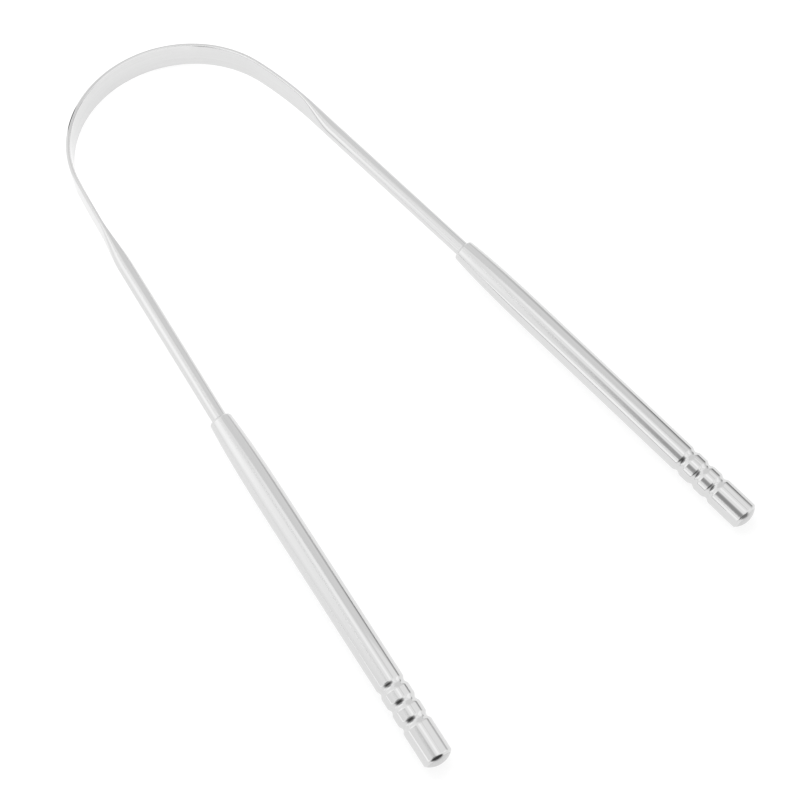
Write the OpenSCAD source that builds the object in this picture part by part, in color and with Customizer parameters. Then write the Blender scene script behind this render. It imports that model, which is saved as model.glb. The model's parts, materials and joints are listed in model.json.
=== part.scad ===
// Tongue scraper with a flat scraping arch and two tube handles.
// One round rod is pressed flat in its middle, bent to an open bow, and its two round ends
// run as tangs into the handles. Each handle is a thin tube, necked down onto the rod at
// its mouth, with three rolled grooves near its free end, where a plug closes it.
// The scraper lies as it rests on a table: +Z up, +Y towards the arch, +X to the right.
// It touches the table under the arch's middle and under both handle ends, and the origin
// lies on the table under the middle of its outline. Sizes are millimetres and degrees.

/* [Rod and scraping band] */
// Diameter of the round rod
rod_d = 3.2; // [2.6:0.1:3.6]
// Width of the rod where it is pressed flat, which is the scraping band's height
band_w = 6.3; // [4.6:0.1:8]
// Thickness of the scraping band
band_t = 0.9; // [0.6:0.05:1.3]
// Length of flat band between the arch's curve and the start of the blend
flat_run = 10.7; // [4:0.1:16]
// Length of the blend from the flat band to the round rod
blend_len = 10.7; // [6:0.1:16]

/* [Shape of the bow] */
// Radius of the arch, at the middle of the band's thickness
arch_r = 24; // [18:0.5:30]
// Angle that the arch's curve turns on each side of its middle
arch_turn = 78; // [70:1:80]
// Length of the slack curve that leads from the arch into each leg
shoulder_len = 16; // [8:0.5:24]
// Angle between each leg and the scraper's middle line
splay = 7.15; // [4:0.05:9]
// Angle that the legs drop below the plane of the arch
leg_drop = 11.25; // [0:0.25:16]
// Length of each leg from the slack curve to the bend at the handle
leg_len = 43; // [30:0.1:60]
// Angle that each handle is bent inwards from its leg
toe = 1; // [0.2:0.1:4]
// Radius of that bend
toe_bend_r = 16; // [8:1:30]

/* [Handles] */
// Length of a handle from its mouth to the top of its plug
handle_len = 80.8; // [60:0.1:110]
// Outer diameter of the handle's tube
handle_d = 6; // [5:0.1:9]
// Wall of the handle's tube
wall = 0.5; // [0.3:0.05:0.8]
// Thickness of the wall at the neck's lip, gathered as the tube is necked down
lip_wall = 0.72; // [0.62:0.02:0.9]
// Radius that rounds the lip's edge
lip_round = 0.6; // [0.2:0.05:0.7]
// Length over which the neck swells to the tube's full diameter
neck_len = 25; // [14:0.5:34]
// Length of the bore that grips the rod in the neck
grip_len = 5; // [3:0.5:10]
// Length over which the bore opens from the grip to the tube's inside
bore_cone_len = 7; // [4:0.5:12]
// Length of rod inside the handle
tang_len = 14; // [8:0.5:30]

/* [Grooved end] */
// Distance from one groove to the next
groove_pitch = 3.95; // [3:0.05:5]
// Width of a groove
groove_w = 2.1; // [1.2:0.1:2.8]
// Depth of a groove below the beads beside it
groove_depth = 0.4; // [0.1:0.05:0.6]
// How far the beads between the grooves stand proud of the tube
bead_rise = 0.05; // [0.01:0.01:0.15]
// How far the plain end beyond the last groove stands proud of the tube
end_rise = 0.1; // [0.02:0.01:0.3]
// Length from the last groove's middle to the top of the dome
end_len = 9.3; // [6:0.1:14]
// Radius that rounds the plain end into its dome
rim_round = 0.5; // [0.3:0.05:1.2]
// Height of the dome above the rounded edge
dome_h = 1; // [0.3:0.05:1.6]

/* [Fits] */
// Radial clearance between the rod and its bore, and between the plug and the tube
fit_clear = 0.02; // [0.01:0.01:0.05]
// Chamfer on the end of the tang and on the inner edge of the plug
lead_chamfer = 0.3; // [0.1:0.05:0.5]

/* [Hidden] */

// Number of grooves in each handle
groove_count = 3;
// Points round the blend's section, and steps along it
ring_points = 32;
blend_steps = 26;
// How far the blend stays under the band and the rod, and how deep it runs into them
seam_step = 0.01;
seam_depth = 0.6;
// Steps along the neck's curve, across a groove, round an edge and over the dome
neck_steps = 24;
groove_steps = 12;
round_steps = 6;
dome_steps = 12;
// The neck's curve closes on the tube with this power of the length that is left
neck_power = 3;
// Segments round the turned surfaces
smooth = 96;

rod_r = rod_d / 2;
tube_r = handle_d / 2;
end_r = tube_r + end_rise;
bead_r = tube_r + bead_rise;
bore_r = rod_r + fit_clear;
lip_r = bore_r + lip_wall;

// The centre line on the right side. A place on it is its run, the length past the arch's curve.
leg_heading = 90 - splay;
loft_len = max(flat_run + blend_len, shoulder_len);
// Share of the slack curve that lies behind a place
function shoulder_share(run) = min(max(run / shoulder_len, 0), 1);
function heading(run) = run < 0 ? arch_turn + run / arch_r * 180 / PI
    : arch_turn + (leg_heading - arch_turn) * shoulder_share(run);
function drop(run) = leg_drop * shoulder_share(run);
// Directions at a place: along the rod, outwards from the bow, and up the band
function along(run) = let (h = heading(run), d = drop(run)) [cos(h) * cos(d), -sin(h) * cos(d), -sin(d)];
function outwards(run) = let (h = heading(run)) [sin(h), cos(h), 0];
function up_band(run) = let (h = heading(run), d = drop(run)) [cos(h) * sin(d), -sin(h) * sin(d), cos(d)];

// Centres of the blend's rings, summed step by step from just inside the arch to just inside the rod
ring_step = (loft_len + 2 * seam_depth) / blend_steps;
blend_turn = heading(-seam_depth);
blend_begin = [arch_r * sin(blend_turn), -arch_r * (1 - cos(blend_turn)), 0];
function ring_run(i) = i * ring_step - seam_depth;
ring_centres = [
    for (i = 0, p = blend_begin; i <= blend_steps; p = p + ring_step * along(ring_run(i + 1 / 2)), i = i + 1)
        p
];
// Share of the way from flat to round, easing in and out
function round_share(run) = let (u = min(max((run - flat_run) / blend_len, 0), 1)) u * u * (3 - 2 * u);
function half_width(run) = band_w / 2 + (rod_r - band_w / 2) * round_share(run) - seam_step;
function half_thickness(run) = band_t / 2 + (rod_r - band_t / 2) * round_share(run) - seam_step;
// A flat section with fully rounded edges, which swells until it is a circle
function ring(i) =
    let (run = ring_run(i), w = half_width(run), t = half_thickness(run))
    [
        for (k = [0 : ring_points - 1])
            let (a = 360 * (k + 1 / 2) / ring_points, rise = t * sin(a) + sign(sin(a)) * (w - t))
            ring_centres[i] + t * cos(a) * outwards(run) + rise * up_band(run)
    ];

// The straight leg from the blend's end, the bend at the handle, and the handle's axis
leg_way = along(loft_len);
leg_side = outwards(loft_len);
leg_start = ring_centres[blend_steps] - seam_depth * leg_way;
rod_len = shoulder_len + leg_len - loft_len;
toe_drift = toe_bend_r * (1 - cos(toe));
toe_rise = toe_bend_r * sin(toe);
handle_way = cos(toe) * leg_way - sin(toe) * leg_side;
handle_start = leg_start + (rod_len + toe_rise) * leg_way - toe_drift * leg_side;

// Stations along a handle, from its mouth
last_groove = handle_len - end_len;
first_groove = last_groove - (groove_count - 1) * groove_pitch;
grooves_end = last_groove + groove_w / 2;
rim_start = handle_len - dome_h - rim_round;

// Outline of the tube: rounded lip, neck and grooves, as [radius, station]
function neck_radius(z) = tube_r - (tube_r - lip_r) * pow(1 - min(z / neck_len, 1), neck_power);
function crest_radius(z) = z < first_groove ? tube_r : z > last_groove ? end_r : bead_r;
function groove_point(k, x) =
    let (z = first_groove + k * groove_pitch + x, floor_r = bead_r - groove_depth)
    [floor_r + (crest_radius(z) - floor_r) * (1 - cos(360 * x / groove_w)) / 2, z];
// The lip's round ends where it points the way the neck does
neck_lean = atan(neck_power * (tube_r - lip_r) / neck_len);
lip_end = lip_round * (1 - sin(neck_lean));
lip_centre_r = neck_radius(lip_end) - lip_round * cos(neck_lean);
lip_line = [
    for (i = [0 : round_steps])
        let (a = (90 - neck_lean) * i / round_steps)
        [lip_centre_r + lip_round * sin(a), lip_round * (1 - cos(a))]
];
neck_line = [
    for (i = [1 : neck_steps])
        let (z = lip_end + (neck_len - lip_end) * i / neck_steps)
        [neck_radius(z), z]
];
groove_line = [
    for (k = [0 : groove_count - 1], i = [0 : groove_steps])
        groove_point(k, groove_w * (i / groove_steps - 1 / 2))
];
// Inside, the bore grips the rod, opens in a cone, and then follows the outside at the wall's distance
bore_open = grip_len + bore_cone_len;
bore_line = concat(
    [[bore_r, 0], [bore_r, grip_len], [neck_radius(bore_open) - wall, bore_open]],
    [for (q = concat(neck_line, groove_line)) if (q[1] > bore_open) [q[0] - wall, q[1]]]
);
bore_back = [for (i = [len(bore_line) - 1 : -1 : 0]) bore_line[i]];

// The end's rounded edge runs into a dome, which the tube's rim and the plug's face share
rim_base = end_r - rim_round;
dome_r = (rim_base * rim_base + dome_h * dome_h) / (2 * dome_h) + rim_round;
dome_angle = asin(rim_base / (dome_r - rim_round));
round_line = [
    for (i = [0 : round_steps - 1])
        let (a = (90 - dome_angle) * i / round_steps)
        [rim_base + rim_round * cos(a), rim_start + rim_round * sin(a)]
];
dome_line = [
    for (i = [0 : dome_steps])
        let (a = dome_angle * (1 - i / dome_steps))
        [dome_r * sin(a), handle_len - dome_r * (1 - cos(a))]
];
function end_station(r) = r > dome_r * sin(dome_angle)
    ? rim_start + sqrt(rim_round * rim_round - pow(r - rim_base, 2))
    : handle_len - dome_r + sqrt(dome_r * dome_r - r * r);
socket_r = end_r - wall;
plug_r = socket_r - fit_clear;
rim_line = concat(
    [for (q = concat(round_line, dome_line)) if (q[0] > socket_r) q],
    [[socket_r, end_station(socket_r)]]
);
face_line = concat(
    [[plug_r, end_station(plug_r)]],
    [for (q = concat(round_line, dome_line)) if (q[0] < plug_r) q]
);

// Rest on the table: the tilt that brings the handles' rims as low as the band's lower edge
edge_z = (band_w - band_t) / 2;
rim_centre = handle_start + rim_start * handle_way;
dome_centre = handle_start + (handle_len - dome_r) * handle_way;
reach = [rim_centre[1], rim_centre[2] + edge_z];
tilt = atan2(reach[0], reach[1]) + acos((end_r - band_t / 2) / norm(reach));
lift = edge_z * cos(tilt) + band_t / 2;
// Half way between the arch's front and what reaches furthest back, the dome or else its edge
function settled_y(p) = p[1] * cos(tilt) - p[2] * sin(tilt);
front_y = band_t / 2 - edge_z * sin(tilt);
back_angle = acos(-settled_y(handle_way));
back_y = back_angle < dome_angle
    ? settled_y(dome_centre) - dome_r
    : settled_y(rim_centre) - rim_base * sin(back_angle) - rim_round;
mid_y = (front_y + back_y) / 2;

module at_rest() {
    translate([0, -mid_y, lift]) rotate([tilt, 0, 0]) children();
}

module on_leg() {
    translate(leg_start) rotate([0, 90 + leg_drop, -leg_heading]) children();
}

module on_handle() {
    on_leg() translate([0, -toe_drift, rod_len + toe_rise]) rotate([toe, 0, 0]) children();
}

module both_sides() {
    children();
    mirror([1, 0, 0]) children();
}

// The band's cross-section: pressed flat, with edges rounded over the whole thickness
module band_section() {
    square([band_t, band_w - band_t], center = true);
    for (side = [-1, 1]) translate([0, side * edge_z]) circle(d = band_t);
}

module arch_band() {
    translate([0, -arch_r, 0])
        rotate([0, 0, 90 - arch_turn])
            rotate_extrude(angle = 2 * arch_turn) translate([arch_r, 0]) band_section();
}

// Where the die let go of the rod: one skin swept along the centre line, from flat to round
module blend() {
    points = [for (i = [0 : blend_steps]) each ring(i)];
    last = blend_steps * ring_points;
    skin = [
        for (i = [0 : blend_steps - 1], k = [0 : ring_points - 1])
            let (a = i * ring_points + k, b = i * ring_points + (k + 1) % ring_points)
            each [[a, b + ring_points, b], [a, a + ring_points, b + ring_points]]
    ];
    ends = [[for (k = [0 : ring_points - 1]) k], [for (k = [ring_points - 1 : -1 : 0]) last + k]];
    polyhedron(points, concat(skin, ends));
}

module toe_bend() {
    translate([0, -toe_bend_r, 0])
        rotate(a = 120, v = [1, 1, 1])
            rotate_extrude(angle = toe) translate([toe_bend_r, 0]) circle(d = rod_d);
}

module tang() {
    rotate_extrude() polygon([
        [0, 0],
        [rod_r, 0],
        [rod_r, tang_len - lead_chamfer],
        [rod_r - lead_chamfer, tang_len],
        [0, tang_len]
    ]);
}

module scraper_bow() {
    color("gainsboro") at_rest() {
        arch_band($fn = smooth);
        both_sides() {
            blend();
            on_leg() cylinder(h = rod_len, r = rod_r, $fn = smooth);
            on_leg() translate([0, 0, rod_len]) toe_bend($fn = smooth);
            on_handle() tang($fn = smooth);
        }
    }
}

module handle() {
    rotate_extrude($fn = smooth) polygon(concat(lip_line, neck_line, groove_line, rim_line, bore_back));
}

module end_plug() {
    rotate_extrude($fn = smooth) polygon(concat(
        [[0, grooves_end], [plug_r - lead_chamfer, grooves_end], [plug_r, grooves_end + lead_chamfer]],
        face_line
    ));
}

module left_handle() {
    color("silver") at_rest() mirror([1, 0, 0]) on_handle() handle();
}

module right_handle() {
    color("silver") at_rest() on_handle() handle();
}

module left_end_plug() {
    color("lightgray") at_rest() mirror([1, 0, 0]) on_handle() end_plug();
}

module right_end_plug() {
    color("lightgray") at_rest() on_handle() end_plug();
}

scraper_bow();
left_handle();
right_handle();
left_end_plug();
right_end_plug();
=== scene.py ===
# %% [markdown]
# A tongue scraper of polished stainless steel
#
# The scraper is one steel rod, pressed flat in its middle to a thin band and bent to an open bow.
# Each of its two round ends sits in a handle, a slim tube with three rolled grooves, and a plug
# closes the tube's free end. So there are five pieces, and all five are steel.
#
# Polished steel shows little of itself: it shows the room. Two things therefore decide whether it
# looks real. The surfaces have to be truly smooth, because a flat facet breaks a reflection, and
# the studio round them has to be built with care, because that is what the eye sees in them.

# %% Load the measured model
import json
import math

import bpy
import numpy as np
from mathutils import Matrix, Vector


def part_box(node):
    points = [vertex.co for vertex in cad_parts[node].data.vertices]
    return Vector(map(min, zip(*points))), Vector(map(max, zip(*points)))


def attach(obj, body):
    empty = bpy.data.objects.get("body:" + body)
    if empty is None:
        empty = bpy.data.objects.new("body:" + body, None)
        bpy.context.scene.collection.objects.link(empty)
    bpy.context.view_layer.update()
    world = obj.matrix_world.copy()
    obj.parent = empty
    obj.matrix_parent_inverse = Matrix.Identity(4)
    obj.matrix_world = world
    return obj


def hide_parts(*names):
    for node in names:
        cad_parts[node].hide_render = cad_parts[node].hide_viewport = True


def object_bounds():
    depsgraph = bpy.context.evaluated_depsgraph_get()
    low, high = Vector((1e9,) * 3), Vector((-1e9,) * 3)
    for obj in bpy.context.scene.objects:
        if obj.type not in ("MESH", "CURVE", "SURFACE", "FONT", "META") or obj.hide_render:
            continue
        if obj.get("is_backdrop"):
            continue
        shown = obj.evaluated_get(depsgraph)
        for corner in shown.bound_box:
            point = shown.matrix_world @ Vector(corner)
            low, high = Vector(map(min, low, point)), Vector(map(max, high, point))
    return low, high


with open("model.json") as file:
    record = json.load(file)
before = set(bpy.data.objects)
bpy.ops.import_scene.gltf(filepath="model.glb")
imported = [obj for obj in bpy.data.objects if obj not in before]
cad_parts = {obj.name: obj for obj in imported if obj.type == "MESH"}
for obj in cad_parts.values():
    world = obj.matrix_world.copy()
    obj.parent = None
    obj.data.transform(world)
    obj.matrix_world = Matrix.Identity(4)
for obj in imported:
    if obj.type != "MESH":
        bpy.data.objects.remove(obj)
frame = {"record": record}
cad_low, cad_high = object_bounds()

MM = 0.001
print("model box in mm", [round(v / MM, 3) for v in (*cad_low, *cad_high)])

# %% [markdown]
# The rod's sizes
#
# The rod is 3.2 mm thick. A press squeezes its middle to a band 6.3 mm wide and 0.9 mm thick, and
# the squeezed edges stay fully round. Where the die ends, the flat swells back to the round rod.
# The bow is an arc with a slack curve on each side that leads into a straight leg, and each leg
# ends in a slight bend, from where the rod runs on as a tang inside the handle.

# %% Sizes of the rod, in millimetres and degrees
rod_r = 1.6
band_half_width = 3.15
band_half_thickness = 0.45
flat_run = 10.7
blend_len = 10.7
arch_r = 24.0
arch_turn = math.radians(78)
shoulder_len = 16.0
splay = math.radians(7.15)
leg_drop = math.radians(11.25)
leg_len = 43.0
toe = math.radians(1)
toe_bend_r = 16.0
tang_len = 14.0
tang_chamfer = 0.3

leg_heading = math.pi / 2 - splay
bend_run = shoulder_len + leg_len
mouth_run = bend_run + toe_bend_r * toe
tang_end_run = mouth_run + tang_len
apex_run = -arch_r * arch_turn
print("rod from apex to tang end, mm:", round(tang_end_run - apex_run, 2))

# %% [markdown]
# The centre line
#
# A bent rod could be drawn as a curve with handles, but then its length and its angles would be
# whatever the handles give. Here the line is walked instead: a place on it is its run, the length
# past the end of the arch, and at each run a formula gives the direction in which the rod goes.
# Adding up short steps gives the points. Only the right half is worked out, from the middle of the
# arch to the tang's end, because the left half is its mirror image.

# %% Directions and points along the centre line
def share_of(run, start, length):
    """Share of a stretch that lies behind a place, from 0 to 1."""
    return np.clip((run - start) / length, 0, 1)


def directions(run):
    """Along the rod, outwards from the bow, and up the band, at each run."""
    slack = share_of(run, 0, shoulder_len)
    heading = arch_turn + np.minimum(run, 0) / arch_r + (leg_heading - arch_turn) * slack
    fall = leg_drop * slack
    level = np.zeros_like(run)
    level_ahead = np.stack([np.cos(heading), -np.sin(heading), level], 1)
    upright = np.array([0, 0, 1])
    falling = np.sin(fall)[:, None]
    keeping = np.cos(fall)[:, None]
    ahead = level_ahead * keeping - upright * falling
    outwards = np.stack([np.sin(heading), np.cos(heading), level], 1)
    up = level_ahead * falling + upright * keeping
    bend = toe * share_of(run, bend_run, toe_bend_r * toe)[:, None]
    return (
        np.cos(bend) * ahead - np.sin(bend) * outwards,
        np.sin(bend) * ahead + np.cos(bend) * outwards,
        up,
    )


def stretch(start, end, step):
    """Evenly spaced runs from start up to, but without, end."""
    return np.linspace(start, end, max(1, math.ceil((end - start) / step)), endpoint=False)


curve_step = 0.4
blend_step = 0.3
straight_step = 6.0
bend_step = toe_bend_r * toe / 4
runs = np.concatenate([
    stretch(apex_run, 0, curve_step),
    stretch(0, flat_run, blend_step),
    stretch(flat_run, flat_run + blend_len, blend_step),
    stretch(flat_run + blend_len, bend_run, straight_step),
    stretch(bend_run, mouth_run, bend_step),
    stretch(mouth_run, tang_end_run - tang_chamfer, straight_step),
    [tang_end_run - tang_chamfer, tang_end_run],
])
middles = (runs[1:] + runs[:-1]) / 2
walked = directions(middles)[0] * np.diff(runs)[:, None]
centres = np.vstack([[0, 0, 0], np.cumsum(walked, 0)])
mouth = centres[np.argmin(abs(runs - mouth_run))]
print(len(runs), "rings on the right half; the right handle's mouth is at", mouth.round(3))

# %% [markdown]
# The cross-section
#
# The band's section is a flat slot shape with round ends, and the rod's is a circle. Both are the
# same figure, a round of the half thickness at each end of a flat, and on the rod the flat's
# length is nothing. The points are spread by their share of the way round the figure, so every
# ring has as many, and they glide along the skin where it swells. Each point also gets its true
# normal, straight out of the flat or away from the round's centre. A polished face needs it:
# normals that are averaged from neighbouring faces would bend the reflections at every edge.
#
# The measured model's skin is made of small facets where the flat swells to the rod, and they lie
# just inside the true curve. So the skin is drawn in there, by less than 0.02 mm, to stay inside.

# %% Points and normals of the rod's section
section_points = 96
blend_tuck = 0.018
tuck_ease = 2.0


def swell(run):
    """Share of the way from flat to round, easing in and out."""
    share = share_of(run, flat_run, blend_len)
    return share * share * (3 - 2 * share)


def tuck(run):
    """How far the skin is drawn in where the band swells, so that it stays in the model's box."""
    blend_end = flat_run + blend_len
    starting = share_of(run, -tuck_ease, tuck_ease)
    ending = share_of(-run, -blend_end - tuck_ease, tuck_ease)
    return blend_tuck * starting * ending


def section(half_width, half_thickness):
    """Points of the figure and their normals, each as (outwards, up)."""
    turn = 2 * np.pi * np.arange(section_points) / section_points
    folded = np.arcsin(np.clip(abs(np.sin(turn)), 0, 1))
    flat = half_width - half_thickness
    way = folded / (np.pi / 2) * (flat + half_thickness * np.pi / 2)
    angle = np.maximum(way - flat, 0) / half_thickness
    # Rounding first makes the sign of a place on an axis 0
    sides = np.sign(np.stack([np.cos(turn), np.sin(turn)], 1).round(9))
    normals = np.stack([np.cos(angle), np.sin(angle)], 1)
    points = half_thickness * normals
    points[:, 1] += np.minimum(way, flat)
    return points * sides, normals * sides


band_points, _ = section(band_half_width, band_half_thickness)
print("band section, mm:", np.ptp(band_points, 0).round(3))

# %% [markdown]
# One skin from rings
#
# Every piece of this scraper is a skin through a row of rings: the rod's rings follow the bow, and
# a turned piece's rings are circles about its axis. Modifiers such as Screw or Curve could sweep
# them, but writing the faces out keeps the true normals. A ring holds its points, the normals
# with which the skin arrives at it and leaves it, and the places of its points on the straight
# bar, before it was bent. The two sets of normals differ only at a sharp edge. The places are kept
# as an attribute of the mesh, so that a finish can run along the metal wherever it bends.

# %% Build a mesh from rings
def ring(points, arrive, leave, places):
    """One ring of a skin, with its normals on both sides and its places on the straight bar."""
    return {"points": points, "arrive": arrive, "leave": leave, "places": places}


def make_skin(name, rings, closed=False):
    """A mesh through the rings in millimetres. A ring of one point closes the skin to a tip."""
    starts = np.cumsum([0] + [len(r["points"]) for r in rings])
    faces = []
    normals = []
    for i in range(len(rings) if closed else len(rings) - 1):
        j = (i + 1) % len(rings)
        here = rings[i]
        there = rings[j]
        near = len(here["points"])
        far = len(there["points"])
        for k in range(max(near, far)):
            a, b = k % near, (k + 1) % near
            c, d = (k + 1) % far, k % far
            corners = [(starts[i] + a, here["leave"][a])]
            if near > 1:
                corners.append((starts[i] + b, here["leave"][b]))
            if far > 1:
                corners.append((starts[j] + c, there["arrive"][c]))
            corners.append((starts[j] + d, there["arrive"][d]))
            faces.append([int(v) for v, n in corners])
            normals.extend(n for v, n in corners)
    mesh = bpy.data.meshes.new(name)
    mesh.from_pydata(np.concatenate([r["points"] for r in rings]) * MM, [], faces)
    mesh.polygons.foreach_set("use_smooth", [True] * len(faces))
    places = mesh.attributes.new("straight_bar", "FLOAT_VECTOR", "POINT")
    places.data.foreach_set("vector", (np.concatenate([r["places"] for r in rings]) * MM).ravel())
    mesh.normals_split_custom_set(np.array(normals))
    mesh.update()
    return mesh


def add_piece(name, mesh, node):
    """The piece as an object that rides on the scraper and stands for its node of the model."""
    piece = bpy.data.objects.new(name, mesh)
    bpy.context.scene.collection.objects.link(piece)
    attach(piece, "root")
    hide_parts(node)
    corners = np.array([v.co for v in mesh.vertices])
    low, high = (np.array(corner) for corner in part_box(node))
    below = (low - corners.min(0)) / MM
    above = (corners.max(0) - high) / MM
    print(name, len(mesh.polygons), "faces; beyond its node, mm:", below.round(3), above.round(3))
    return piece

# %% [markdown]
# Where the bow lies
#
# The scraper rests on the table on the band's lower edge and on the two handle ends, so the bow
# is tilted. The measured model says where each handle is: a mount gives the axis of its plain
# end. Turning the walked line until its handle points along that axis, and moving it until the
# mouths meet, puts the bow where the model has it, with no number of its own.

# %% Place the bow by the model's mounts
handle_len = 80.8
end_len = 9.3
rim_round = 0.5
dome_h = 1.0
groove_w = 2.1
grooves_end = handle_len - end_len + groove_w / 2
rim_start = handle_len - dome_h - rim_round
barrel_middle = (grooves_end + rim_start) / 2

mounts = {mount["name"]: mount for mount in frame["record"]["mounts"]}


def mouth_and_way(side):
    """A handle's mouth and the direction from it to the free end, in the model's frame."""
    mount = mounts[side + "_end"]
    way = np.array(mount["axis"])
    way = way / np.linalg.norm(way)
    return np.array(mount["pos_m"]) / MM - barrel_middle * way, way


right_mouth, right_way = mouth_and_way("right")
tang_way = directions(np.array([mouth_run]))[0][0]
tilt = math.atan2(right_way[2], right_way[1]) - math.atan2(tang_way[2], tang_way[1])
to_rest = np.array(Matrix.Rotation(tilt, 3, "X"))
rest_shift = right_mouth - to_rest @ mouth
print("bow tilts by", round(math.degrees(tilt), 3), "degrees; shift in mm", rest_shift.round(3))

# %% [markdown]
# The bow
#
# Its skin runs from the left tang's end, round the arch, to the right tang's end. The tangs are
# hidden in the handles, but they hold the scraper together, so they are there.

# %% Make the bow
def bow_ring(i, side):
    """The ring at one place of the centre line, on the right side (1) or the left (-1)."""
    ahead, outwards, up = (v[0] for v in directions(runs[i:i + 1]))
    share = swell(runs[i])
    half_width = band_half_width + (rod_r - band_half_width) * share - tuck(runs[i])
    half_thickness = band_half_thickness + (rod_r - band_half_thickness) * share - tuck(runs[i])
    if i == len(runs) - 1:
        half_width = half_thickness = rod_r - tang_chamfer
    flat_points, flat_normals = section(half_width, half_thickness)
    axes = np.array([outwards, up])
    points = centres[i] + flat_points @ axes
    normals = flat_normals @ axes
    mirror = np.array([side, 1, 1])
    lengths = np.full((section_points, 1), side * (runs[i] - apex_run))
    return ring(
        (points * mirror) @ to_rest.T + rest_shift,
        (normals * mirror) @ to_rest.T,
        (normals * mirror) @ to_rest.T,
        np.hstack([flat_points, lengths]),
    )


def tip(side):
    """The middle of a tang's flat end."""
    facing = np.array([side * directions(runs[-1:])[0][0] * [side, 1, 1]])
    point = np.array([centres[-1] * [side, 1, 1]])
    place = np.array([[0, 0, side * (tang_end_run - apex_run)]])
    facing = facing if side > 0 else -facing
    return ring(point @ to_rest.T + rest_shift, facing @ to_rest.T, facing @ to_rest.T, place)


bow_rings = [tip(-1)]
bow_rings += [bow_ring(i, -1) for i in range(len(runs) - 1, 0, -1)]
bow_rings += [bow_ring(i, 1) for i in range(len(runs))]
bow_rings += [tip(1)]
bow = add_piece("steel_bow", make_skin("steel_bow", bow_rings), "scraper_bow")

# %% [markdown]
# A handle's outline
#
# The handle is a tube 6 mm across with a 0.5 mm wall. Spinning tools neck its mouth down onto the
# rod, and three narrow wheels roll the grooves into it. So the shape is turned about one axis and
# one outline says it all: a round lip, a neck that swells quickly and then slowly, the straight
# tube, grooves like a wave with plain beads between them, and a domed rim. The inside follows
# the outside at the wall's distance, closes to a cone and grips the rod.

# %% Sizes of a handle, in millimetres
tube_r = 3.0
wall = 0.5
lip_wall = 0.72
lip_round = 0.6
neck_len = 25.0
neck_power = 3
grip_len = 5.0
bore_cone_len = 7.0
groove_pitch = 3.95
groove_count = 3
groove_depth = 0.4
bead_rise = 0.05
end_rise = 0.1
fit_clear = 0.02

bead_r = tube_r + bead_rise
end_r = tube_r + end_rise
bore_r = rod_r + fit_clear
lip_r = bore_r + lip_wall
bore_open = grip_len + bore_cone_len
groove_floor = bead_r - groove_depth
last_groove = handle_len - end_len
first_groove = last_groove - (groove_count - 1) * groove_pitch
print("grooves at", [round(first_groove + k * groove_pitch, 2) for k in range(groove_count)])

# %% Stretches of an outline
groove_steps = 24
lip_steps = 10
round_steps = 14
rim_steps = 4
face_steps = 20
neck_points = 80
bore_points = 20


def outline_stretch(radii, stations):
    """A smooth stretch of a turned outline: radius, station and the two parts of its normal."""
    along_r = np.gradient(radii, edge_order=2)
    along_z = np.gradient(stations, edge_order=2)
    size = np.hypot(along_r, along_z)
    return np.stack([radii, stations, along_z / size, -along_r / size], 1)


def straight(r0, z0, r1, z1):
    """A straight stretch between two points of the outline."""
    return outline_stretch(np.array([r0, (r0 + r1) / 2, r1]), np.array([z0, (z0 + z1) / 2, z1]))


def arc(centre_r, centre_z, radius, start, end, steps):
    """A round stretch. Its angles are in degrees, 0 facing away from the axis, 90 the free end."""
    angle = np.radians(np.linspace(start, end, steps + 1))
    facing = np.stack([np.cos(angle), np.sin(angle)], 1)
    return np.hstack([[centre_r, centre_z] + radius * facing, facing])


def neck_radius(z):
    """Outer radius of the neck, which closes on the tube with the cube of the length left."""
    return tube_r - (tube_r - lip_r) * (1 - np.minimum(z / neck_len, 1)) ** neck_power


def groove(centre, before, after):
    """A rolled groove: a wave down from the crest before it and up to the crest after it."""
    x = np.linspace(-groove_w / 2, groove_w / 2, groove_steps + 1)
    crest = np.where(x < 0, before, after)
    radii = groove_floor + (crest - groove_floor) * (1 - np.cos(2 * np.pi * x / groove_w)) / 2
    found = outline_stretch(radii, centre + x)
    # Its two crests and its floor face straight away from the axis
    found[[0, -1, groove_steps // 2], 2:] = [1, 0]
    return found


# The lip's round ends where it points the way the neck does
neck_slope = neck_power * (tube_r - lip_r) / neck_len
lip_turn = math.degrees(math.atan(-neck_slope))
lip_end = lip_round * (1 + math.sin(math.radians(lip_turn)))
lip_centre_r = float(neck_radius(lip_end)) - lip_round * math.cos(math.radians(lip_turn))
print("the neck leaves the lip at", round(-lip_turn, 2), "degrees from the axis")

# %% The whole outline, outside and inside
neck_z = np.linspace(lip_end, neck_len, neck_points)
crests = [tube_r] + [bead_r] * (groove_count - 1) + [end_r]
outside = [
    arc(lip_centre_r, lip_round, lip_round, -90, lip_turn, lip_steps),
    outline_stretch(neck_radius(neck_z), neck_z),
    straight(tube_r, neck_len, tube_r, first_groove - groove_w / 2),
]
for k in range(groove_count):
    middle = first_groove + k * groove_pitch
    edge = middle + groove_w / 2
    next_edge = middle + groove_pitch - groove_w / 2 if k < groove_count - 1 else rim_start
    outside.append(groove(middle, crests[k], crests[k + 1]))
    outside.append(straight(crests[k + 1], edge, crests[k + 1], next_edge))


# The end's rounded edge runs into a dome, which the tube's rim and the plug's face share
rim_base = end_r - rim_round
dome_r = (rim_base ** 2 + dome_h ** 2) / (2 * dome_h) + rim_round
dome_turn = math.asin(rim_base / (dome_r - rim_round))
dome_centre = handle_len - dome_r
socket_r = end_r - wall


def end_station(radius):
    """Where the dome is, at a distance from the axis."""
    return dome_centre + math.sqrt(dome_r ** 2 - radius ** 2)


def dome(outer, inner, steps):
    """The stretch of the dome between two distances from the axis."""
    start, end = (math.degrees(math.acos(radius / dome_r)) for radius in (outer, inner))
    return arc(0, dome_centre, dome_r, start, end, steps)


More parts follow.
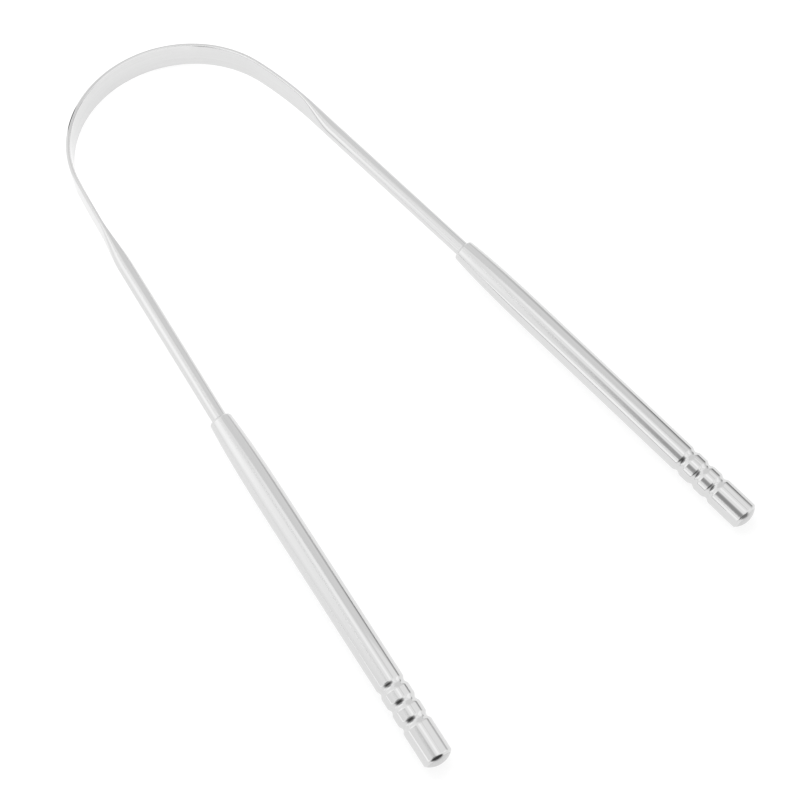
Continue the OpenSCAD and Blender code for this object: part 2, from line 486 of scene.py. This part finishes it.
dome_edge = dome_r * math.sin(dome_turn)
rim = [
    arc(rim_base, rim_start, rim_round, 0, 90 - math.degrees(dome_turn), round_steps),
    dome(dome_edge, socket_r, rim_steps),
]
print("dome's radius and width, mm:", round(dome_r, 3), round(2 * dome_edge, 3))


def wall_inside(found, start):
    """A stretch at the wall's distance inside, walked backwards, from the station start on."""
    kept = found[found[:, 1] >= start]
    return np.hstack([kept[:, :1] - wall, kept[:, 1:2], -kept[:, 2:]])[::-1]


bore_neck_r = float(neck_radius(bore_open)) - wall
inner_neck_z = np.linspace(bore_open, neck_len, bore_points)
inside = [straight(socket_r, end_station(socket_r), socket_r, rim_start)]
inside += [wall_inside(found, neck_len) for found in outside[:1:-1]]
inside += [
    wall_inside(outline_stretch(neck_radius(inner_neck_z), inner_neck_z), bore_open),
    straight(bore_neck_r, bore_open, bore_r, grip_len),
    straight(bore_r, grip_len, bore_r, 0),
    straight(bore_r, 0, lip_centre_r, 0),
]
handle_outline = outside + rim + inside
print("the outline has", sum(len(found) for found in handle_outline), "points")

# %% [markdown]
# Turning an outline
#
# The stretches are joined end to end. Where one ends and the next begins there is one ring, which
# keeps both normals: the same ones on a smooth joint, two different ones at a sharp edge.

# %% Make a turned mesh
turned_points = 128
on_axis = 1e-6


def turned_rings(stretches, closed):
    """Rings about the axis, from the stretches of an outline."""
    turn = 2 * np.pi * np.arange(turned_points) / turned_points
    rings = []
    for found in stretches:
        for n, (r, z, out, on) in enumerate(found):
            count = turned_points if r > on_axis else 1
            away = np.stack([np.cos(turn), np.sin(turn)], 1)[:count]
            points = np.hstack([r * away, np.full((count, 1), z)])
            facing = np.hstack([out * away, np.full((count, 1), on)])
            if n == 0 and rings:
                rings[-1]["leave"] = facing
            else:
                rings.append(ring(points, facing, facing, points))
    if closed:
        rings[0]["arrive"] = rings.pop()["arrive"]
    return rings


def on_handle(side, rings):
    """The rings laid along a handle's axis. Their places on the straight bar stay as they are."""
    start, way = mouth_and_way(side)
    level = np.cross([0, 0, 1], way)
    level = level / np.linalg.norm(level)
    axes = np.array([level, np.cross(way, level), way])
    return [
        ring(start + r["points"] @ axes, r["arrive"] @ axes, r["leave"] @ axes, r["places"])
        for r in rings
    ]


handles = {}
for side in ("left", "right"):
    name = side + "_grip_tube"
    rings = on_handle(side, turned_rings(handle_outline, closed=True))
    tube = make_skin(name, rings, closed=True)
    handles[side] = add_piece(name, tube, side + "_handle")

# %% [markdown]
# The end plugs
#
# A plug fills the plain end behind the last groove. A chamfer leads it in when it is pressed home.
# Then the tube's rim and the plug are turned and buffed together to one low dome, so that the end
# feels smooth in the palm, and the seam between them all but disappears.

# %% Make the plugs
plug_r = end_r - wall - fit_clear
plug_chamfer = 0.3
plug_outline = [
    straight(0, grooves_end, plug_r - plug_chamfer, grooves_end),
    straight(plug_r - plug_chamfer, grooves_end, plug_r, grooves_end + plug_chamfer),
    straight(plug_r, grooves_end + plug_chamfer, plug_r, end_station(plug_r)),
    dome(plug_r, 0, face_steps),
]
plugs = {}
for side in ("left", "right"):
    name = side + "_domed_plug"
    plug = make_skin(name, on_handle(side, turned_rings(plug_outline, closed=False)))
    plugs[side] = add_piece(name, plug, side + "_end_plug")

# %% [markdown]
# Helpers for the finishes
#
# Colours are written as sRGB hex values, as a paint chart gives them, and one function turns them
# to the linear values that the renderer works in. One more function adds a shader node together
# with its settings and links, so that a finish reads as a short list.

# %% Colour and node helpers
def colour(hex_value):
    """Linear red, green, blue and alpha from an sRGB hex value."""
    parts = [int(hex_value[i:i + 2], 16) / 255 for i in (1, 3, 5)]
    return [c / 12.92 if c <= 0.04045 else ((c + 0.055) / 1.055) ** 2.4 for c in parts] + [1]


def add(tree, kind, settings=None, **inputs):
    """Adds a node. An input is a value, or a socket of another node that is linked to it."""
    node = tree.nodes.new(kind)
    for key, value in (settings or {}).items():
        setattr(node, key, value)
    for key, value in inputs.items():
        socket = node.inputs[int(key[1:]) if key[1:].isdigit() else key.replace("_", " ")]
        if isinstance(value, bpy.types.NodeSocket):
            tree.links.new(value, socket)
        else:
            socket.default_value = value
    return node


def new_material(name):
    """An empty material and its node tree."""
    material = bpy.data.materials.new(name)
    material.use_nodes = True
    material.node_tree.nodes.clear()
    return material, material.node_tree

# %% [markdown]
# Polished stainless steel
#
# The steel is the common 18/8 kind. A drawn rod or tube is polished lengthwise on fine belts and
# then on a buffing wheel, which leaves nearly a mirror. Three things keep it from being a perfect
# one. The buff drags fine lines along the metal, 0.05 mm apart, which are drawn here 0.3 mm apart
# so that they show. The drawing die leaves the surface very slightly wavy over some millimetres,
# so that a reflected edge wanders a little. And the shine varies softly, where the wheel pressed
# more or less. Steel reflects about 70 % of the light at all colours, hence the pale grey.

# %% Make a polished steel
steel_bright = "#DBDBDB"
steel_dull = "#D3D3D3"
line_spacing = 0.3 * MM
line_length = 18 * MM
line_height = 0.0004 * MM
line_detail = 3.0
wave_width = 1.6 * MM
wave_length = 14 * MM
wave_height = 0.004 * MM
wave_detail = 1.0
# Nearly all of the noise lies between these two values
noise_low = 0.3
noise_high = 0.7
rod_roughness = (0.04, 0.07)
tube_roughness = (0.035, 0.06)


def noise_along(tree, place, width, length, detail):
    """Noise that is narrow round the bar and long along it, both as real lengths."""
    scale = (1 / width, 1 / width, 1 / length)
    scaled = add(tree, "ShaderNodeVectorMath", {"operation": "MULTIPLY"}, _0=place, _1=scale)
    noise = add(tree, "ShaderNodeTexNoise", Vector=scaled.outputs[0], Scale=1.0, Detail=detail)
    return noise.outputs["Fac"]


def polished_steel(name, least_rough, most_rough):
    """Steel polished lengthwise, with its roughness between two values."""
    material, tree = new_material(name)
    place = add(tree, "ShaderNodeAttribute", {"attribute_name": "straight_bar"}).outputs["Vector"]
    lines = noise_along(tree, place, line_spacing, line_length, line_detail)
    waves = noise_along(tree, place, wave_width, wave_length, wave_detail)
    tone = add(
        tree, "ShaderNodeMix", {"data_type": "RGBA"}, _0=lines,
        _6=colour(steel_dull), _7=colour(steel_bright),
    )
    shine = add(
        tree, "ShaderNodeMapRange", _0=waves, _1=noise_low, _2=noise_high,
        _3=least_rough, _4=most_rough,
    )
    wavy = add(tree, "ShaderNodeBump", Height=waves, Strength=1.0, Distance=wave_height)
    lined = add(
        tree, "ShaderNodeBump", Height=lines, Strength=1.0, Distance=line_height,
        Normal=wavy.outputs[0],
    )
    steel = add(
        tree, "ShaderNodeBsdfPrincipled", Metallic=1.0, Base_Color=tone.outputs[2],
        Roughness=shine.outputs[0], Normal=lined.outputs[0],
    )
    add(tree, "ShaderNodeOutputMaterial", Surface=steel.outputs[0])
    return material


rod_finish = polished_steel("buffed stainless steel rod", *rod_roughness)
tube_finish = polished_steel("polished stainless steel tube", *tube_roughness)
bow.data.materials.append(rod_finish)
for handle in handles.values():
    handle.data.materials.append(tube_finish)

# %% [markdown]
# The plug's turned face
#
# The plug is the same steel, but its face was cut on a lathe and only lightly polished. The tool
# leaves rings about the axis, a few hundredths of a millimetre apart and drawn wider here. They
# spread the reflection, so the face looks evenly grey where the tube beside it shows streaks, and
# a little darker than the polished steel.

# %% Make the turned steel
turned_bright = "#D0D0D0"
turned_dull = "#C8C8C8"
turned_roughness = 0.2
ring_spacing = 0.25 * MM
ring_height = 0.0006 * MM
ring_detail = 2.0


def turned_steel(name):
    """Steel with the fine rings that a lathe tool leaves, lightly polished over."""
    material, tree = new_material(name)
    place = add(tree, "ShaderNodeAttribute", {"attribute_name": "straight_bar"}).outputs["Vector"]
    flat = add(tree, "ShaderNodeVectorMath", {"operation": "MULTIPLY"}, _0=place, _1=(1, 1, 0))
    radius = add(tree, "ShaderNodeVectorMath", {"operation": "LENGTH"}, _0=flat.outputs[0])
    count = add(
        tree, "ShaderNodeMath", {"operation": "DIVIDE"}, _0=radius.outputs["Value"],
        _1=ring_spacing,
    )
    noise = add(
        tree, "ShaderNodeTexNoise", {"noise_dimensions": "1D"}, W=count.outputs[0], Scale=1.0,
        Detail=ring_detail,
    )
    rings = noise.outputs["Fac"]
    tone = add(
        tree, "ShaderNodeMix", {"data_type": "RGBA"}, _0=rings,
        _6=colour(turned_dull), _7=colour(turned_bright),
    )
    cut = add(tree, "ShaderNodeBump", Height=rings, Strength=1.0, Distance=ring_height)
    steel = add(
        tree, "ShaderNodeBsdfPrincipled", Metallic=1.0, Base_Color=tone.outputs[2],
        Roughness=turned_roughness, Normal=cut.outputs[0],
    )
    add(tree, "ShaderNodeOutputMaterial", Surface=steel.outputs[0])
    return material


plug_finish = turned_steel("turned stainless steel face")
for plug in plugs.values():
    plug.data.materials.append(plug_finish)
print("finishes:", [m.name for m in bpy.data.materials if m.users])

# %% [markdown]
# The camera
#
# The scraper lies on a table and the camera looks down on it from the left handle's side, from
# about 0.4 m away with a long lens, and it is rolled a little. Its place is worked out from the
# point that it looks at, its azimuth and elevation, its distance and its roll.

# %% Place the camera
look_azimuth = math.radians(-48.492)
look_down = math.radians(66.828)
roll = math.radians(10.367)
distance = 425.014 * MM
looked_at = np.array([1.598, -15.827, 0]) * MM
sensor_width = 36.0
lens = 93.946
nearest_seen = 10 * MM

view_way = np.array([
    -math.sin(look_azimuth) * math.cos(look_down),
    math.cos(look_azimuth) * math.cos(look_down),
    -math.sin(look_down),
])
level_right = np.array([math.cos(look_azimuth), math.sin(look_azimuth), 0])
level_up = np.cross(level_right, view_way)
right = level_right * math.cos(roll) + level_up * math.sin(roll)
up = -level_right * math.sin(roll) + level_up * math.cos(roll)
camera = bpy.data.objects.new("camera", bpy.data.cameras.new("camera"))
bpy.context.scene.collection.objects.link(camera)
camera.data.sensor_width = sensor_width
camera.data.lens = lens
camera.data.clip_start = nearest_seen
turned_camera = Matrix((Vector(right), Vector(up), Vector(-view_way))).transposed().to_4x4()
camera.matrix_world = Matrix.Translation(Vector(looked_at - view_way * distance)) @ turned_camera
bpy.context.scene.camera = camera
print("camera at, mm:", (np.array(camera.location) / MM).round(1))

# %% [markdown]
# The floor and the white room
#
# The table is white and endless, so the floor is one wide disc, and the world beyond it is white.
# In the picture a lit white table would be a pale grey, and a photographer would expose it until it
# is white. So the camera, and the steel that mirrors the table, see a greyer paint that glows until
# it is white. The paint keeps the scraper's soft shadow. All other light bounces off plain white.

# %% Make the floor
floor_radius = 2.0
floor_sides = 96
floor_paint = "#F5F5F5"
seen_paint = "#8C8C8C"
floor_lift = 0.78
pure_white = "#FFFFFF"


def rays(tree, *kinds):
    """1 for rays of the given kinds, and 0 for all others."""
    path = add(tree, "ShaderNodeLightPath").outputs
    chosen = path[kinds[0]]
    for kind in kinds[1:]:
        either = add(tree, "ShaderNodeMath", {"operation": "MAXIMUM"}, _0=chosen, _1=path[kind])
        chosen = either.outputs[0]
    return chosen


turn = 2 * np.pi * np.arange(floor_sides) / floor_sides
edge = np.stack([floor_radius * np.cos(turn), floor_radius * np.sin(turn), 0 * turn], 1)
floor_mesh = bpy.data.meshes.new("floor")
floor_mesh.from_pydata(edge, [], [list(range(floor_sides))])
floor = bpy.data.objects.new("floor", floor_mesh)
bpy.context.scene.collection.objects.link(floor)
floor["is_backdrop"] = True

floor_material, tree = new_material("matt white table")
bounce = add(tree, "ShaderNodeBsdfDiffuse", Color=colour(floor_paint))
shade = add(tree, "ShaderNodeBsdfDiffuse", Color=colour(seen_paint))
glow = add(tree, "ShaderNodeEmission", Color=colour(pure_white), Strength=floor_lift)
lifted = add(tree, "ShaderNodeAddShader", _0=shade.outputs[0], _1=glow.outputs[0])
in_picture = rays(tree, "Is Camera Ray", "Is Glossy Ray", "Is Transmission Ray")
table_top = add(
    tree, "ShaderNodeMixShader", _0=in_picture, _1=bounce.outputs[0], _2=lifted.outputs[0],
)
add(tree, "ShaderNodeOutputMaterial", Surface=table_top.outputs[0])
floor.data.materials.append(floor_material)
print("floor's radius, m:", floor_radius)

# %% [markdown]
# The studio
#
# Small shiny things are photographed in a white tent, which lights them evenly from all sides.
# The world is that tent: seen by the camera or in the steel it is white, and it lights the scene a
# little less strongly. One soft lamp hangs over the arch, so the table is brighter there than at
# the handles' ends, and the band's inner face, which reflects the table, shows it.
#
# The streaks in the steel are the rest of the studio: the tent's walls, its opening, and the dark
# room behind the camera. Each is a card that only reflections see, as a photographer would clamp
# card on stands round the table. To find where a streak's card has to stand, the line of sight is
# followed from the camera to the steel and on to where the steel sends it.

# %% Make the tent and the lamp
tent_white = 1.054
tent_light = 0.80
world = bpy.data.worlds.new("white tent")
bpy.context.scene.world = world
world.use_nodes = True
tree = world.node_tree
tree.nodes.clear()
light = add(tree, "ShaderNodeBackground", Color=colour(pure_white), Strength=tent_light)
white = add(tree, "ShaderNodeBackground", Color=colour(pure_white), Strength=tent_white)
seen = rays(tree, "Is Camera Ray", "Is Glossy Ray", "Is Transmission Ray")
tent = add(tree, "ShaderNodeMixShader", _0=seen, _1=light.outputs[0], _2=white.outputs[0])
add(tree, "ShaderNodeOutputWorld", Surface=tent.outputs[0])

lamp_size = 0.25
lamp_place = (0.0, 0.12, 0.25)
lamp_radiance = 2.4
lamp = bpy.data.lights.new("overhead softbox", "AREA")
lamp.size = lamp_size
lamp.energy = lamp_radiance * math.pi * lamp_size ** 2
lamp_object = bpy.data.objects.new("overhead_softbox", lamp)
lamp_object.location = lamp_place
lamp_object.visible_glossy = False
bpy.context.scene.collection.objects.link(lamp_object)
print("lamp power, W:", round(lamp.energy, 3))

# %% Make a card's finish
def glowing_card(name, brightness, soft):
    """A card that glows evenly and fades to nothing over the share soft towards its edge."""
    material, tree = new_material(name)
    place = add(tree, "ShaderNodeTexCoord").outputs["Object"]
    off_middle = add(tree, "ShaderNodeVectorMath", {"operation": "ABSOLUTE"}, _0=place)
    parts = add(tree, "ShaderNodeSeparateXYZ", _0=off_middle.outputs[0])
    fades = [
        add(
            tree, "ShaderNodeMapRange", {"interpolation_type": "SMOOTHSTEP"}, _0=part,
            _1=1.0, _2=1 - soft, _3=0.0, _4=1.0,
        ).outputs[0]
        for part in (parts.outputs[0], parts.outputs[1])
    ]
    shown = add(tree, "ShaderNodeMath", {"operation": "MULTIPLY"}, _0=fades[0], _1=fades[1])
    glow = add(tree, "ShaderNodeEmission", Color=colour(pure_white), Strength=brightness)
    clear = add(tree, "ShaderNodeBsdfTransparent")
    faded = add(
        tree, "ShaderNodeMixShader", _0=shown.outputs[0], _1=clear.outputs[0], _2=glow.outputs[0],
    )
    add(tree, "ShaderNodeOutputMaterial", Surface=faded.outputs[0])
    return material


# %% Make the cards
def add_card(name, azimuth, elevation, turned, away, width, height, brightness, soft):
    """A card that faces the scraper and that only reflections see.

    Its width and height are shares of its distance."""
    a = math.radians(azimuth)
    e = math.radians(elevation)
    back = Vector((math.sin(a) * math.cos(e), math.cos(a) * math.cos(e), math.sin(e)))
    level = Vector((-math.cos(a), math.sin(a), 0))
    facing = Matrix((level, back.cross(level), back)).transposed().to_4x4()
    facing = facing @ Matrix.Rotation(math.radians(turned), 4, "Z")
    size = Matrix.Diagonal((width * away / 2, height * away / 2, 1, 1))
    mesh = bpy.data.meshes.new(name)
    mesh.from_pydata([(-1, -1, 0), (1, -1, 0), (1, 1, 0), (-1, 1, 0)], [], [(0, 1, 2, 3)])
    mesh.materials.append(glowing_card(name.replace("_", " "), brightness, soft))
    card = bpy.data.objects.new(name, mesh)
    card.matrix_world = Matrix.Translation(back * away) @ facing @ size
    bpy.context.scene.collection.objects.link(card)
    card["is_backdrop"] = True
    card.visible_camera = False
    card.visible_diffuse = False
    card.visible_transmission = False
    card.visible_shadow = False


# %% [markdown]
# The cards
#
# On the left is the bright side of the tent and on the right a paler one that stands close. A grey
# strip with a dark core lies low along the table there, and the right handle shows it as its dark
# streaks. Behind the camera are the opening that it looks through and the dark room, which the
# grooves show as short dashes. Near cards hide far ones, so four small ones do the rest: a dark
# one before each handle's end, which its dome shows as a dark lens, a white one inside the arch,
# which keeps the band's rim bright, and a dark one behind the arch on the left, which puts a short
# dark line on that rim.

# %% The tent's walls and roof
# Each row: name, azimuth, elevation and turn in degrees, distance in metres, width and height as
# shares of the distance, brightness, and the share of the card over which its edge fades
walls = [
    ("bright_side", -57.6, 34.0, 8.9, 0.274, 1.497, 1.750, 1.32, 1.00),
    ("left_wall", -62.7, 29.9, -0.6, 1.074, 1.335, 1.311, 0.97, 0.67),
    ("low_bright", -85.5, -3.1, 62.6, 0.876, 1.121, 0.397, 1.28, 0.30),
    ("right_side", 54.4, 26.4, -24.2, 0.162, 1.880, 1.306, 0.89, 0.07),
    ("upper_right", 55.0, 56.8, 5.0, 1.247, 0.618, 0.491, 0.88, 0.15),
    ("roof", 59.5, 83.9, 56.7, 1.299, 0.666, 0.529, 1.24, 0.86),
    ("front_bright", 131.0, 18.1, 18.5, 1.297, 0.687, 0.444, 1.24, 0.10),
    ("front_top", 155.0, 42.0, 0.0, 0.800, 0.600, 0.500, 1.15, 0.50),
]
for row in walls:
    add_card(*row)
print("cards for the walls and the roof:", len(walls))

# %% The dark strip, the opening and the dark room
room = [
    ("right_strip", 104.6, 7.9, 6.3, 0.140, 2.031, 0.696, 0.55, 1.00),
    ("strip_core", 109.5, 7.6, 0.0, 0.136, 0.440, 0.100, 0.05, 0.50),
    ("camera_opening", -121.4, 51.9, -18.4, 0.531, 0.931, 0.857, 0.38, 0.68),
    ("dark_room", -150.0, 34.0, 0.0, 1.294, 2.100, 1.500, 0.48, 0.80),
    ("room_core", -149.0, 30.5, 30.0, 1.200, 1.450, 0.680, 0.07, 0.80),
]
for row in room:
    add_card(*row)
print("cards for the strip, the opening and the room:", len(room))

# %% The small cards close to the scraper
close_cards = [
    ("left_end_card", -155.1, 4.3, 0.0, 0.0997, 0.215, 0.170, 0.06, 0.50),
    ("right_end_card", 156.6, 4.3, 0.0, 0.0986, 0.150, 0.170, 0.24, 0.50),
    ("arch_card", 4.6, 9.6, 0.0, 0.0722, 0.263, 0.277, 1.17, 0.30),
    ("back_card", -10.7, 4.2, 0.0, 0.0888, 0.099, 0.200, 0.02, 0.40),
]
for row in close_cards:
    add_card(*row)
print("close cards:", len(close_cards))

# %% [markdown]
# Last settings
#
# The picture is taken with the standard view, so a colour comes out as it is written. The box of
# the finished scraper is written beside the model's box, to compare the two.

# %% Settings and sizes
bpy.context.scene.view_settings.view_transform = "Standard"
bpy.context.view_layer.update()
made_low, made_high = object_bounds()
below = (np.array(cad_low) - np.array(made_low)) / MM
above = (np.array(made_high) - np.array(cad_high)) / MM
print("beyond the model's box, mm:", below.round(4), above.round(4))
